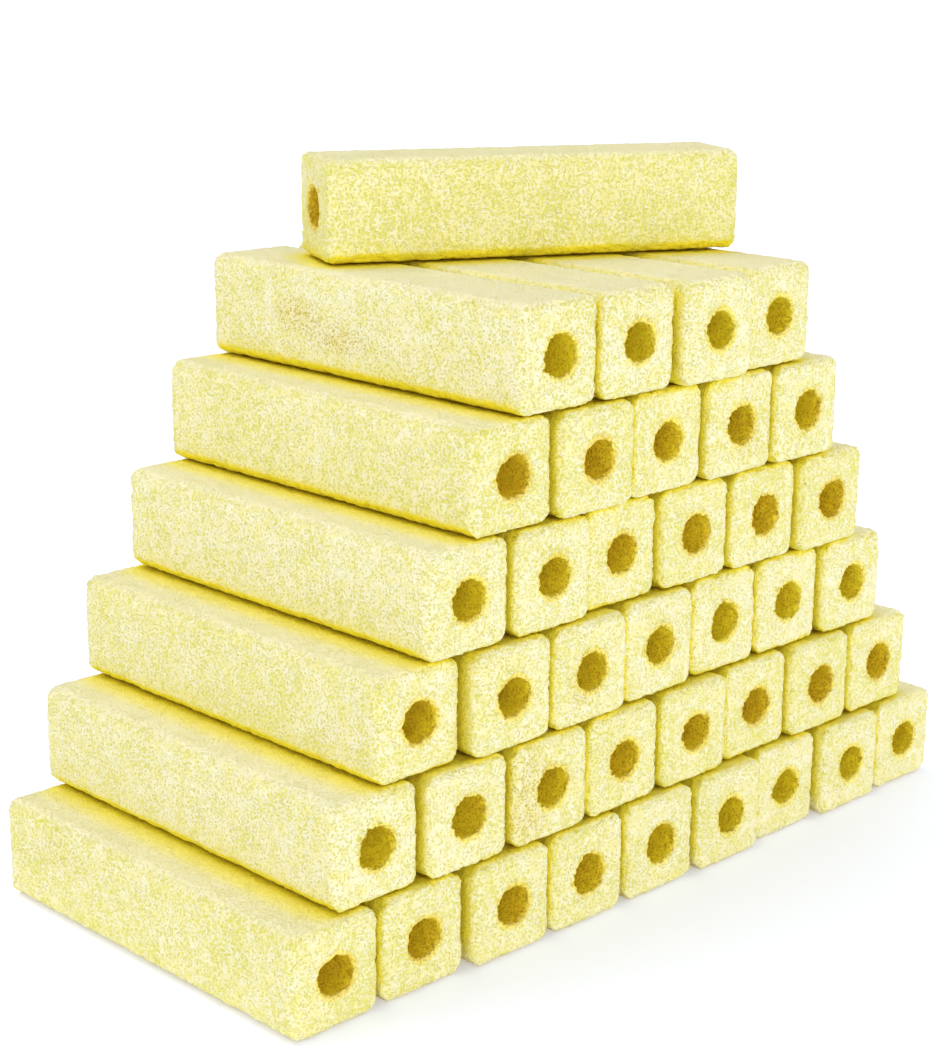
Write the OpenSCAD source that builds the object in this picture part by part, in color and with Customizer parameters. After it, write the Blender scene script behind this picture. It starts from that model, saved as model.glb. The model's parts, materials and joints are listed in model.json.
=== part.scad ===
// A stepped pile of long square porous bricks. Every brick has one round bore
// from end to end. The rows lie lengthwise, each half a brick in from the row
// under it, and the last brick lies crosswise on the top row.
//
// +X runs along the rows, -Y is the front, where the bored ends show, and +Z
// is up. The origin is on the floor under the middle of the pile.

/* [Brick] */
// Length of every brick, from bored end to bored end
brick_len = 200; // [160:1:240]
// Width and height of a brick's square section
brick_side = 47; // [38:0.1:57]
// Diameter of the round bore through the middle of every brick
bore_d = 20; // [10:0.1:26]
// Radius of the four long edges
long_edge_r = 6; // [1:0.1:8]
// Radius round the edges of the two bored end faces
end_edge_r = 2.5; // [0.5:0.1:4]

/* [Pile] */
// Bricks in the bottom row
bottom_count = 9; // [7:1:10]
// Rows of lengthwise bricks, each one brick shorter than the row under it
row_count = 6; // [3:1:6]
// Space between two bricks that lie side by side
side_gap = 1.6; // [0.8:0.1:6]
// How far a brick strays sideways, as a share of the space beside it
side_stray = 0.3; // [0:0.05:0.3]
// How far the worst-laid brick strays lengthwise from the line of the front
end_stray = 6; // [0:0.5:8]

/* [Crosswise brick] */
// Turn of the top brick, clockwise from above, away from the line of the rows
cross_turn = 25; // [0:1:40]
// Middle of the top brick, to the right of the pile's middle
cross_right = 13; // [-20:1:20]
// Middle of the top brick, behind the pile's middle
cross_back = 6; // [-20:1:20]

/* [Hidden] */
$fn = 96;
eps = 1;
pitch = brick_side + side_gap;
brick_colour = [0.93, 0.90, 0.74];

function bricks_in(row) = bottom_count + 1 - row;
function brick_name(row, place) = str("row_", row, "_brick_", place);

// Every row and place, counted from the floor up and from the left.
SPOTS = [for (row = [1:row_count]) for (place = [1:bricks_in(row)]) [row, place]];

// A hand-laid pile is never quite in line. A slow wave that doesn't repeat
// within a row shifts each brick a little sideways.
function side_wave(row, place) = sin(131 * place + 53 * row);

// How far each brick lies back from the line of the front, in sixths of
// end_stray: the rows from the floor up, each from its left end.
SET_BACK = [
    [1, 1, -2, -2, -2, -3, 1, -2, 0, -1],
    [3, 0, -1, 0, 0, 3, 1, 2, 0],
    [4, -1, -1, 2, 5, 5, 3, 1],
    [1, 0, 5, 4, 3, 0, -1],
    [1, -2, 1, 0, -1, 2],
    [-1, -2, -6, 0, 1]
];

function laid_x(row, place) =
    (place - (bricks_in(row) + 1) / 2) * pitch
    + side_gap * side_stray * side_wave(row, place);
function laid_y(row, place) = end_stray * SET_BACK[row - 1][place - 1] / 6;

// The pile's own middle, which the origin sits under.
all_y = [for (s = SPOTS) laid_y(s[0], s[1])];
mid_x = (laid_x(1, 1) + laid_x(1, bottom_count)) / 2;
mid_y = (min(all_y) + max(all_y)) / 2;

// A rectangle about the origin with four round corners.
module round_rect(size, r) {
    square([size[0] - 2 * r, size[1]], center = true);
    square([size[0], size[1] - 2 * r], center = true);
    for (sx = [-1, 1])
        for (sy = [-1, 1])
            translate([sx * (size[0] / 2 - r), sy * (size[1] / 2 - r)])
                circle(r);
}

// One brick along Y, with the middle of its underside at the origin.
module brick() {
    color(brick_colour)
        translate([0, 0, brick_side / 2])
            difference() {
                intersection() {
                    // long edges
                    rotate([90, 0, 0])
                        linear_extrude(brick_len, center = true)
                            round_rect([brick_side, brick_side], long_edge_r);
                    // upright edges of the end faces
                    linear_extrude(brick_side + 2 * eps, center = true)
                        round_rect([brick_side, brick_len], end_edge_r);
                    // level edges of the end faces
                    rotate([90, 0, 90])
                        linear_extrude(brick_side + 2 * eps, center = true)
                            round_rect([brick_len, brick_side], end_edge_r);
                }
                rotate([90, 0, 0])
                    cylinder(h = brick_len + 2 * eps, d = bore_d, center = true);
            }
}

// A brick of one of the rows, where it lies.
module row_brick(row, place) {
    translate([
        laid_x(row, place) - mid_x,
        laid_y(row, place) - mid_y,
        (row - 1) * brick_side
    ])
        brick();
}

// The brick that lies across the top row, turned off square.
module crosswise_brick() {
    translate([cross_right, cross_back, row_count * brick_side])
        rotate([0, 0, 90 - cross_turn])
            brick();
}

for (s = SPOTS)
    row_brick(s[0], s[1]);
crosswise_brick();
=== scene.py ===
import json
import math

import bmesh
import bpy
import numpy as np
from mathutils import Matrix, Vector


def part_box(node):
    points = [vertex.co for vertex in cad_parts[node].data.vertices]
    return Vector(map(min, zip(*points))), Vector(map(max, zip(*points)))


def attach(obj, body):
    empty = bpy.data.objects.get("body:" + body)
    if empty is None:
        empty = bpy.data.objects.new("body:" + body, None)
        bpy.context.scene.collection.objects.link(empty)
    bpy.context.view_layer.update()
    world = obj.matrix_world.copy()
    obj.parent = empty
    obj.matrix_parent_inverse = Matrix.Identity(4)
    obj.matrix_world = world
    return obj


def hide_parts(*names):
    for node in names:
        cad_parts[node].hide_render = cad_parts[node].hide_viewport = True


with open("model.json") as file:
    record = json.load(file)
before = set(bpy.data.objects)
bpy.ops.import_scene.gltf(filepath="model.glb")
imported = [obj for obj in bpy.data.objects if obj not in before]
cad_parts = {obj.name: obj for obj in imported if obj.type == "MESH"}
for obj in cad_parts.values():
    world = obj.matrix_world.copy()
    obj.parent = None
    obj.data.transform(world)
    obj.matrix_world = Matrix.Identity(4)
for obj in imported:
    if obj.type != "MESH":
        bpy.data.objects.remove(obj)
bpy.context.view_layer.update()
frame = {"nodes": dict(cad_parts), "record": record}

# ---------------------------------------------------------------- sizes, in metres

MM = 0.001
mounts = {mount["name"]: mount for mount in frame["record"]["mounts"]}
bore_size = mounts["row_1_brick_1_bore"]["dims"]
BORE_R = bore_size["r_mm"] * MM
LENGTH = bore_size["length_mm"] * MM
corner_low, corner_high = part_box("row_1_brick_1")
SIDE = corner_high[0] - corner_low[0]
LONG_EDGE_R = 6 * MM
END_EDGE_R = 2.5 * MM
RIM_R = 1.0 * MM

AROUND = 120            # vertices round each ring of a brick
ALONG = 130             # rings along its outside
END_RINGS = 8           # rings across an end, from the rim to the outer edge
BORE_STEPS = 20         # rings from a mouth to the middle of the bore


# ---------------------------------------------------------------- the blank brick

def square_ring(half, corner):
    """Evenly spaced points round a square with rounded corners.

    They start at the middle of its right side. half is half its width.
    """
    straight = 2 * (half - corner)
    arc = math.pi / 2 * corner
    points = []
    for step in range(AROUND):
        way = step / AROUND * 4 * (straight + arc) + straight / 2
        quarter, rest = divmod(way, straight + arc)
        if rest < straight:
            x, z = half, rest - straight / 2
        else:
            turn = (rest - straight) / corner if corner else 0
            x = half - corner + corner * math.cos(turn)
            z = half - corner + corner * math.sin(turn)
        for _ in range(int(quarter) % 4):
            x, z = -z, x
        points.append((x, z))
    return points


def round_ring(radius):
    """Evenly spaced points round a circle."""
    points = []
    for step in range(AROUND):
        turn = 2 * math.pi * step / AROUND
        points.append((radius * math.cos(turn), radius * math.sin(turn)))
    return points


def half_profile():
    """Rings (y, points) from the middle of the bore to the outer edge of the back end.

    They go out of the back mouth, round its rim and over the end face. In the
    bore they stand closer together near the mouth, where they show.
    """
    rings = []
    for step in range(BORE_STEPS, 0, -1):
        share = step / BORE_STEPS
        spread = 0.25 * share + 0.75 * share ** 2.6
        from_end = RIM_R + (LENGTH / 2 - RIM_R) * spread
        rings.append((LENGTH / 2 - from_end, round_ring(BORE_R)))
    for turn in (0, 30, 60, 90):
        angle = math.radians(turn)
        rings.append((
            LENGTH / 2 - RIM_R * (1 - math.sin(angle)),
            round_ring(BORE_R + RIM_R * (1 - math.cos(angle))),
        ))
    inner = round_ring(BORE_R + RIM_R)
    outer = square_ring(SIDE / 2 - END_EDGE_R, LONG_EDGE_R - END_EDGE_R)
    for step in range(1, END_RINGS + 1):
        share = step / END_RINGS
        rings.append((LENGTH / 2, [
            (a[0] + (b[0] - a[0]) * share, a[1] + (b[1] - a[1]) * share)
            for a, b in zip(inner, outer)
        ]))
    for turn in (30, 60, 90):
        angle = math.radians(turn)
        inset = END_EDGE_R * (1 - math.sin(angle))
        rings.append((
            LENGTH / 2 - END_EDGE_R * (1 - math.cos(angle)),
            square_ring(SIDE / 2 - inset, LONG_EDGE_R - inset),
        ))
    return rings


def blank_brick():
    """An unworn brick about the origin, its bore along Y.

    One ring is drawn out through the bore, over both ends and back to itself.
    """
    half = half_profile()
    edge_y, edge_points = half[-1]
    rings = half[:]
    for step in range(1, ALONG):
        rings.append((edge_y - 2 * edge_y * step / ALONG, edge_points))
    rings += [(-y, points) for y, points in reversed(half)]
    bm = bmesh.new()
    place = bm.verts.layers.int.new("place")
    ring = bmesh.ops.create_circle(bm, segments=AROUND, radius=BORE_R)["verts"]
    first = list(ring)
    for count, vertex in enumerate(ring):
        vertex[place] = count
    edges = list(bm.edges)
    for count, (y, points) in enumerate(rings):
        if count:
            made = bmesh.ops.extrude_edge_only(bm, edges=edges)["geom"]
            ring = [g for g in made if isinstance(g, bmesh.types.BMVert)]
            members = set(ring)
            edges = [
                g for g in made
                if isinstance(g, bmesh.types.BMEdge)
                and g.verts[0] in members and g.verts[1] in members
            ]
        for vertex in ring:
            x, z = points[vertex[place]]
            vertex.co = (x, y, z)
    bmesh.ops.remove_doubles(bm, verts=first + ring, dist=0.01 * MM)
    bmesh.ops.recalc_face_normals(bm, faces=bm.faces[:])
    if bm.calc_volume(signed=True) < 0:
        bmesh.ops.reverse_faces(bm, faces=bm.faces[:])
    for face in bm.faces:
        face.smooth = True
    mesh = bpy.data.meshes.new("blank_brick")
    bm.to_mesh(mesh)
    bm.free()
    return mesh


# ---------------------------------------------------------------- wear, in mm

rng = np.random.default_rng(7)
SHUFFLE = rng.permutation(256)
SLOPES = rng.normal(size=(256, 3))
SLOPES /= np.linalg.norm(SLOPES, axis=1)[:, None]

NEXT_BRICK = np.array([37.3, 11.9, 53.7])   # from one brick's wear to the next one's
COARSE, MIDDLING, FINE, CRUMB = 9, 4.6, 2.7, 1.7
RIM_LUMP = 3.4
BOW_LENGTH = 42
RIM_REACH = 2.6         # how far from the mouth's edge it is crumbled
LEAST_WORN = 0.03       # the outside is never less deep than this
MOST_WORN = 2.2
MOST_FILLED = 1.6       # how far the bore's wall may stand into the bore


def lumps(points, size):
    """Smooth lumps of about the given size, mostly within -1 to 1."""
    spot = points / size
    cell = np.floor(spot).astype(int)
    inside = spot - cell
    ease = inside * inside * inside * (inside * (inside * 6 - 15) + 10)
    total = np.zeros(len(points))
    for dx in (0, 1):
        for dy in (0, 1):
            for dz in (0, 1):
                key = SHUFFLE[(cell[:, 0] + dx) & 255]
                key = SHUFFLE[(key + cell[:, 1] + dy) & 255]
                key = SHUFFLE[(key + cell[:, 2] + dz) & 255]
                slope = (SLOPES[key] * (inside - (dx, dy, dz))).sum(axis=1)
                share = (
                    (ease[:, 0] if dx else 1 - ease[:, 0])
                    * (ease[:, 1] if dy else 1 - ease[:, 1])
                    * (ease[:, 2] if dz else 1 - ease[:, 2])
                )
                total += slope * share
    return total * 1.6


def rise(low, high, value):
    """0 below low, 1 above high, and a smooth rise between."""
    share = np.clip((value - low) / (high - low), 0, 1)
    return share * share * (3 - 2 * share)


def worn(points, number):
    """How a brick is worn at each of the blank's points, which are in mm.

    Gives the depth in mm, how pitted it is, whether it is the bore's wall, and
    how much painted shade the bore has there.
    """
    x, y, z = np.abs(points.T)
    radius = np.hypot(x, z)
    bore_r = BORE_R / MM
    end = LENGTH / MM / 2
    half = SIDE / MM / 2
    own = points + NEXT_BRICK * (number + 1)

    bored = 1 - rise(bore_r + 0.2, bore_r + 1.2, radius)
    wall = bored > 0.98
    from_mouth = np.hypot(radius - bore_r, y - end)
    rim = np.exp(-((from_mouth / RIM_REACH) ** 2))
    long_edge = rise(half - 6, half - 1.5, np.minimum(x, z)) * (1 - bored)
    end_edge = rise(end - 4, end - 0.5, y) * rise(half - 4.5, half - 0.8, np.maximum(x, z))
    edge = np.maximum(long_edge, end_edge)

    # each size of lump is read from a place of its own
    coarse = lumps(own, COARSE)
    middling = lumps(own + 91, MIDDLING)
    fine = lumps(own + 47, FINE)
    crumbs = lumps(own + 63, CRUMB)
    bow = 0.12 + 0.12 * lumps(own * (1, 0.55, 1), BOW_LENGTH)
    pits = np.clip(middling - 0.3, 0, 1) * 0.8 + np.clip(fine - 0.15, 0, 1) * 0.9
    outside = (
        bow
        + 0.05 * (1 + coarse)
        + (0.15 + 0.30 * edge) * (1 + fine)
        + (0.17 + 0.32 * edge) * (1 + crumbs)
        + pits * (0.45 + 0.6 * edge)
        + edge * np.clip(0.1 + coarse, 0, 1) * 0.7
    )

    wander = lumps(own * (1, 0.4, 1) + 13, COARSE)
    squeeze = 0.75 + 0.65 * math.sin(number * 7.31)     # makes some bores lower than wide
    inside = 0.95 * wander + 0.2 * middling + 0.25 * fine + 0.35 * crumbs - 0.5
    inside -= squeeze * (z / np.maximum(radius, 1)) ** 2

    depth = outside * (1 - bored) + inside * bored
    depth += rim * (np.clip(lumps(own + 29, RIM_LUMP), 0, 1) * 1.1 + 0.9 * crumbs)
    depth = np.clip(depth, np.where(wall, -MOST_FILLED, LEAST_WORN), MOST_WORN)

    # painted shade in the bore, from the rim of its mouth inwards, strongest a little way in
    bore_shade = bored * (0.7 + 0.3 * rise(0.3, 2.5, end - y))
    return depth, pits * (1 - bored), wall, bore_shade


# Weathered patches: the brick, the middle of the patch about the brick's own
# middle, its reach, in mm, and its strength.
STAINS = (
    ("row_6_brick_1", (-23.5, 40, 2), (8, 22, 9), 0.6),
    ("row_6_brick_1", (-23.5, 10, -6), (8, 22, 8), 0.5),
    ("row_2_brick_3", (-14, -100, -2), (16, 12, 26), 0.55),
    ("row_3_brick_3", (-6, -100, -4), (12, 10, 14), 0.4),
    ("row_5_brick_4", (4, -100, -8), (12, 10, 12), 0.3),
    ("row_1_brick_1", (-23.5, 60, 6), (8, 30, 10), 0.2),
)


def stained(node, points):
    """How weathered a brick is at each of the blank's points."""
    total = np.zeros(len(points))
    for brick, middle, reach, strength in STAINS:
        if brick == node:
            away = np.linalg.norm((points - middle) / reach, axis=1)
            total = np.maximum(total, strength * (1 - rise(0.3, 1.2, away)))
    return total


# ---------------------------------------------------------------- shader maths

class Wire:
    """One output of a shader node, which adds Math nodes when it is worked with."""

    def __init__(self, finish, socket):
        self.finish, self.socket = finish, socket

    def sum_with(self, how, first, second):
        return self.finish.node("ShaderNodeMath", {"operation": how}, {0: first, 1: second})

    def __add__(self, other):
        return self.sum_with("ADD", self, other)

    __radd__ = __add__

    def __mul__(self, other):
        return self.sum_with("MULTIPLY", self, other)

    __rmul__ = __mul__

    def __sub__(self, other):
        return self.sum_with("SUBTRACT", self, other)

    def __rsub__(self, other):
        return self.sum_with("SUBTRACT", other, self)

    def rise(self, low, high):
        """0 below low, 1 above high, and a smooth rise between."""
        settings = {"interpolation_type": "SMOOTHSTEP"}
        inputs = {"Value": self, "From Min": low, "From Max": high}
        return self.finish.node("ShaderNodeMapRange", settings, inputs)


class Finish:
    """A material being mixed."""

    def __init__(self, name):
        self.material = bpy.data.materials.new(name)
        self.material.use_nodes = True
        self.tree = self.material.node_tree
        self.shader = next(n for n in self.tree.nodes if n.type == "BSDF_PRINCIPLED")

    def node(self, kind, settings=None, inputs=None, output=0):
        """Any node. Its settings are made first, then its sockets are fed."""
        made = self.tree.nodes.new(kind)
        for name, value in (settings or {}).items():
            setattr(made, name, value)
        for name, value in (inputs or {}).items():
            self.feed(made.inputs[name], value)
        return Wire(self, made.outputs[output])

    def feed(self, socket, value):
        if isinstance(value, Wire):
            self.tree.links.new(value.socket, socket)
        else:
            socket.default_value = value

    def value(self, name):
        """One of the values that every vertex of a brick has."""
        return self.node("ShaderNodeAttribute", {"attribute_name": name}, output="Fac")

    def noise(self, size, place, detail=2.0, rough=0.55):
        """Cloudy noise whose lumps are about size metres across."""
        return self.node("ShaderNodeTexNoise", {}, {
            "Vector": place, "Scale": 0.5 / size, "Detail": detail, "Roughness": rough,
        }, output="Fac")

    def cells(self, size, place):
        """Distance from the middle of cells about size metres across.

        It is given as a share of that size.
        """
        inputs = {"Vector": place, "Scale": 1 / size}
        return self.node("ShaderNodeTexVoronoi", {"feature": "F1"}, inputs, output="Distance")

    def crevice(self, reach):
        """1 deep in a narrow gap, 0 on an open face."""
        inputs = {"Distance": reach}
        return 1 - self.node("ShaderNodeAmbientOcclusion", {"samples": 4}, inputs, output="AO")

    def mix(self, share, first, second):
        """A colour that goes from first to second."""
        return self.node("ShaderNodeMix", {"data_type": "RGBA"}, {
            0: share, 6: colour(first), 7: colour(second),
        }, output=2)

    def set(self, **inputs):
        """Feeds the shader's own sockets, with _ for the spaces in their names."""
        for name, value in inputs.items():
            self.feed(self.shader.inputs[name.replace("_", " ")], value)


def colour(value):
    return value if isinstance(value, Wire) else (*value, 1.0)


# ---------------------------------------------------------------- finishes

CREAM = (0.87, 0.80, 0.36)
CHALK = (0.90, 0.85, 0.58)
YELLOW = (0.82, 0.79, 0.12)
OLIVE = (0.68, 0.62, 0.07)
# LEMON is painted shade in the gaps, GOLD and AMBER painted shade in the bore, BROWN the
# deepest painted shade
LEMON = (0.98, 0.85, 0.04)
GOLD = (0.96, 0.84, 0.035)
AMBER = (0.92, 0.64, 0.03)
BROWN = (0.44, 0.22, 0.016)
MOSS = (0.62, 0.44, 0.05)
SOOT = (0.05, 0.035, 0.02)

CLUMP = 9 * MM
PATCH = 2.6 * MM
PORE = 1.35 * MM
SMALL_PORE = 0.8 * MM
GRAIN = 0.42 * MM
SPECK_SPACING = 24 * MM
GAP_REACH = 14 * MM             # a face gets painted shade from another brick nearer than this
FLOOR_REACH = 16 * MM           # below this height the painted gap shade fades out to the floor
GRAIN_HEIGHT = 0.6 * MM


def porous_finish():
    """Chalky grains with yellow pores, painted light on the tops, painted yellow shade in the
    gaps and painted golden shade in the bore.
    """
    finish = Finish("porous_brick")
    place = finish.node("ShaderNodeTexCoord", output="Object")
    depth = finish.value("depth")
    bore_shade = finish.value("bore_shade")
    tone = finish.value("tone")
    stain = finish.value("stain")
    upward = finish.value("upward")
    height = finish.node("ShaderNodeSeparateXYZ", {}, {0: place}, output="Z")

    # where the pores are: cells, wider where clumps and pits make them so
    clumps = finish.noise(CLUMP, place, detail=3.0)
    grain = finish.noise(GRAIN, place, detail=2.0, rough=0.6)
    pore = finish.cells(PORE, place)
    small_pore = finish.cells(SMALL_PORE, place)
    wide = clumps * 0.44 + grain * 0.34 + depth * 0.12 + tone * 0.025 - 0.03
    pored = (wide - pore).rise(-0.04, 0.08)
    fine = clumps * 0.20 + grain * 0.44 + 0.02
    fine_pored = (fine - small_pore).rise(-0.05, 0.08)
    dark = clumps * 0.22 + grain * 0.20 + depth * 0.10 - 0.02
    dark_pored = (dark - pore).rise(-0.02, 0.08)

    # the open faces
    patches = finish.noise(PATCH, place, detail=3.0)
    chalky = (patches * 0.7 + grain * 0.3 - tone * 0.02).rise(0.38, 0.62)
    body = finish.mix(chalky, CREAM, CHALK)
    body = finish.mix(fine_pored * 0.5, body, YELLOW)
    body = finish.mix(pored * 0.8, body, YELLOW)
    body = finish.mix(dark_pored * 0.45, body, OLIVE)
    # painted light: faces that look up are made whiter
    body = finish.mix(upward * 0.6, body, CHALK)

    # painted shade: faces near another brick, from ambient occlusion, turn lemon yellow, but
    # not by the floor; faces that look up take a little more of it
    gap_occlusion = finish.crevice(GAP_REACH) * (1 - bore_shade)
    clear_of_floor = height.rise(0.0, FLOOR_REACH)
    gap = (gap_occlusion + upward * 0.10).rise(0.16, 0.52) * gap_occlusion.rise(0.02, 0.12)
    body = finish.mix(gap * clear_of_floor * 0.97, body, LEMON)
    # painted deepest shade, brown, where bricks all but touch
    body = finish.mix(gap_occlusion.rise(0.97, 1.0) * 0.5, body, BROWN)

    # painted golden shade in the bore, brown in its pores
    bore_shade_colour = finish.mix((grain + clumps * 0.3 + tone * 0.05).rise(0.48, 0.80), GOLD, AMBER)
    bore_shade_colour = finish.mix(pored * 0.3, bore_shade_colour, BROWN)
    body = finish.mix(bore_shade, body, bore_shade_colour)

    # weathered patches and lone specks of soot
    body = finish.mix(stain * (grain + pored * 0.5).rise(0.35, 0.75), body, MOSS)
    soot = (0.014 - finish.cells(SPECK_SPACING, place)).rise(0.0, 0.006)
    body = finish.mix(soot, body, SOOT)

    relief = (1 - pored) * 0.7 + (1 - fine_pored) * 0.4 + grain * 0.8
    bump = finish.node("ShaderNodeBump", {}, {
        "Height": relief, "Strength": 0.85, "Distance": GRAIN_HEIGHT,
    })
    finish.set(Base_Color=body, Roughness=0.95, Normal=bump, Specular_IOR_Level=0.05)
    return finish.material


# ---------------------------------------------------------------- bricks

def brick_place(node):
    """Where a brick lies: its front mouth faces along its bore mount's axis."""
    low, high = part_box(node)
    axis = Vector(mounts[node + "_bore"]["axis"])
    turn = math.atan2(axis.y, axis.x) + math.pi / 2
    middle = (Vector(low) + Vector(high)) / 2
    return Matrix.Translation(middle) @ Matrix.Rotation(turn, 4, "Z")


def add_values(mesh, name, values):
    layer = mesh.attributes.new(name, "FLOAT", "POINT")
    layer.data.foreach_set("value", np.asarray(values, dtype=np.float32))


def make_brick(node, number, blank, blank_points, blank_normals, finish):
    """A worn copy of the blank brick, laid where the frame has it."""
    depth, pits, wall, bore_shade = worn(blank_points, number)

    # the bore's wall moves straight to or from its middle, the rest along its normals
    radius = np.hypot(blank_points[:, 0], blank_points[:, 2])
    push = blank_normals * np.where(wall, 0.0, 1.0)[:, None]
    push -= blank_points * (1, 0, 1) * np.where(wall, 1 / radius, 0.0)[:, None]
    points = (blank_points - push * depth[:, None]) * MM
    place = np.array(brick_place(node))
    points = points @ place[:3, :3].T + place[:3, 3]

    mesh = blank.copy()
    mesh.name = node + "_worn"
    mesh.vertices.foreach_set("co", points.astype(np.float32).ravel())
    mesh.attributes.remove(mesh.attributes["place"])
    # the crosswise brick is the most pored, and each of the others differs a little
    tone = 2.0 if node == "crosswise_brick" else math.sin(number * 12.9898 + 1.3)
    add_values(mesh, "depth", pits)
    # how much a face looks up, for painted light on the tops and a little more painted gap
    # shade
    add_values(mesh, "upward", rise(0.6, 1.0, blank_normals[:, 2]))
    # how much painted shade the bore has at each point
    add_values(mesh, "bore_shade", bore_shade)
    add_values(mesh, "tone", np.full(len(points), tone))
    add_values(mesh, "stain", stained(node, blank_points))
    mesh.materials.append(finish)
    mesh.update()
    piece = bpy.data.objects.new(node + "_worn", mesh)
    bpy.context.scene.collection.objects.link(piece)
    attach(piece, node)
    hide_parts(node)


def make_bricks():
    blank = blank_brick()
    flat = np.empty(len(blank.vertices) * 3)
    blank.vertices.foreach_get("co", flat)
    blank_points = flat.reshape(-1, 3) / MM
    flat = np.empty(len(blank.vertices) * 3)
    blank.vertex_normals.foreach_get("vector", flat)
    blank_normals = flat.reshape(-1, 3)
    finish = porous_finish()
    for number, node in enumerate(sorted(frame["nodes"])):
        make_brick(node, number, blank, blank_points, blank_normals, finish)


# ---------------------------------------------------------------- floor, light, camera

WHITE = (1, 1, 1, 1)
FLOOR_COLOUR = (0.80, 0.84, 1.0, 1)     # a little blue, against the bricks' yellow light
FLOOR_GLOW = 0.27                       # keeps the open floor white and the shadows soft
FLOOR_R = 12.0

# The sky is brightest at the horizon. Its heights are the Z of a direction.
SKY_LOW, SKY_HIGH = 0.06, 0.40
SKY_AT_LOW, SKY_AT_HIGH = 1.1, 0.58

# Name, power, spread in degrees, and the way the light travels.
LIGHTS = (
    ("left_softbox", 0.36, 30, (1.0, -0.15, -0.20)),
    ("front_softbox", 1.08, 30, (0.30, 1.0, -0.28)),
    ("overhead_softbox", 1.05, 40, (0.15, -0.40, -1.0)),
    ("right_fill", 0.30, 60, (-1.0, 0.20, -0.25)),
)

CAMERA_AT = (-0.7164, -0.6979, 0.4243)
CAMERA_YAW, CAMERA_DOWN, CAMERA_ROLL = 44.81, 15.26, 0.51   # degrees
LENS, SENSOR = 74.34, 36                                    # mm


def make_floor():
    bm = bmesh.new()
    bmesh.ops.create_circle(bm, cap_ends=True, segments=64, radius=FLOOR_R)
    mesh = bpy.data.meshes.new("floor")
    bm.to_mesh(mesh)
    bm.free()
    floor = bpy.data.objects.new("floor", mesh)
    bpy.context.scene.collection.objects.link(floor)
    paper = Finish("pale_floor")
    paper.set(
        Base_Color=FLOOR_COLOUR, Roughness=1.0,
        Emission_Color=WHITE, Emission_Strength=FLOOR_GLOW,
    )
    mesh.materials.append(paper.material)


def make_sky():
    world = bpy.data.worlds.new("studio")
    bpy.context.scene.world = world
    world.use_nodes = True
    tree = world.node_tree
    background = next(n for n in tree.nodes if n.type == "BACKGROUND")
    direction = tree.nodes.new("ShaderNodeTexCoord")
    split = tree.nodes.new("ShaderNodeSeparateXYZ")
    fall = tree.nodes.new("ShaderNodeMapRange")
    fall.interpolation_type = "SMOOTHSTEP"
    fall.inputs["From Min"].default_value = SKY_LOW
    fall.inputs["From Max"].default_value = SKY_HIGH
    fall.inputs["To Min"].default_value = SKY_AT_LOW
    fall.inputs["To Max"].default_value = SKY_AT_HIGH
    tree.links.new(direction.outputs["Generated"], split.inputs[0])
    tree.links.new(split.outputs["Z"], fall.inputs["Value"])
    tree.links.new(fall.outputs[0], background.inputs["Strength"])
    background.inputs["Color"].default_value = WHITE


def make_lights():
    for name, power, spread, travel in LIGHTS:
        lamp = bpy.data.lights.new(name, "SUN")
        lamp.energy = power
        lamp.angle = math.radians(spread)
        box = bpy.data.objects.new(name, lamp)
        box.rotation_euler = Vector(travel).to_track_quat("-Z", "Y").to_euler()
        bpy.context.scene.collection.objects.link(box)


def make_camera():
    """Stands to the left of and in front of the pile and looks slightly down."""
    yaw, down, roll = map(math.radians, (CAMERA_YAW, CAMERA_DOWN, CAMERA_ROLL))
    ahead = Vector((
        math.sin(yaw) * math.cos(down),
        math.cos(yaw) * math.cos(down),
        -math.sin(down),
    ))
    right = Vector((math.cos(yaw), -math.sin(yaw), 0))
    up = right.cross(ahead)
    right, up = (
        math.cos(roll) * right + math.sin(roll) * up,
        math.cos(roll) * up - math.sin(roll) * right,
    )
    turned = Matrix((right, up, -ahead)).transposed().to_4x4()
    lens = bpy.data.cameras.new("camera")
    lens.sensor_width = SENSOR
    lens.lens = LENS
    camera = bpy.data.objects.new("camera", lens)
    camera.matrix_world = Matrix.Translation(CAMERA_AT) @ turned
    bpy.context.scene.collection.objects.link(camera)
    bpy.context.scene.camera = camera


make_bricks()
make_floor()
make_sky()
make_lights()
make_camera()
view = bpy.context.scene.view_settings
view.view_transform = "Standard"
view.look = "None"
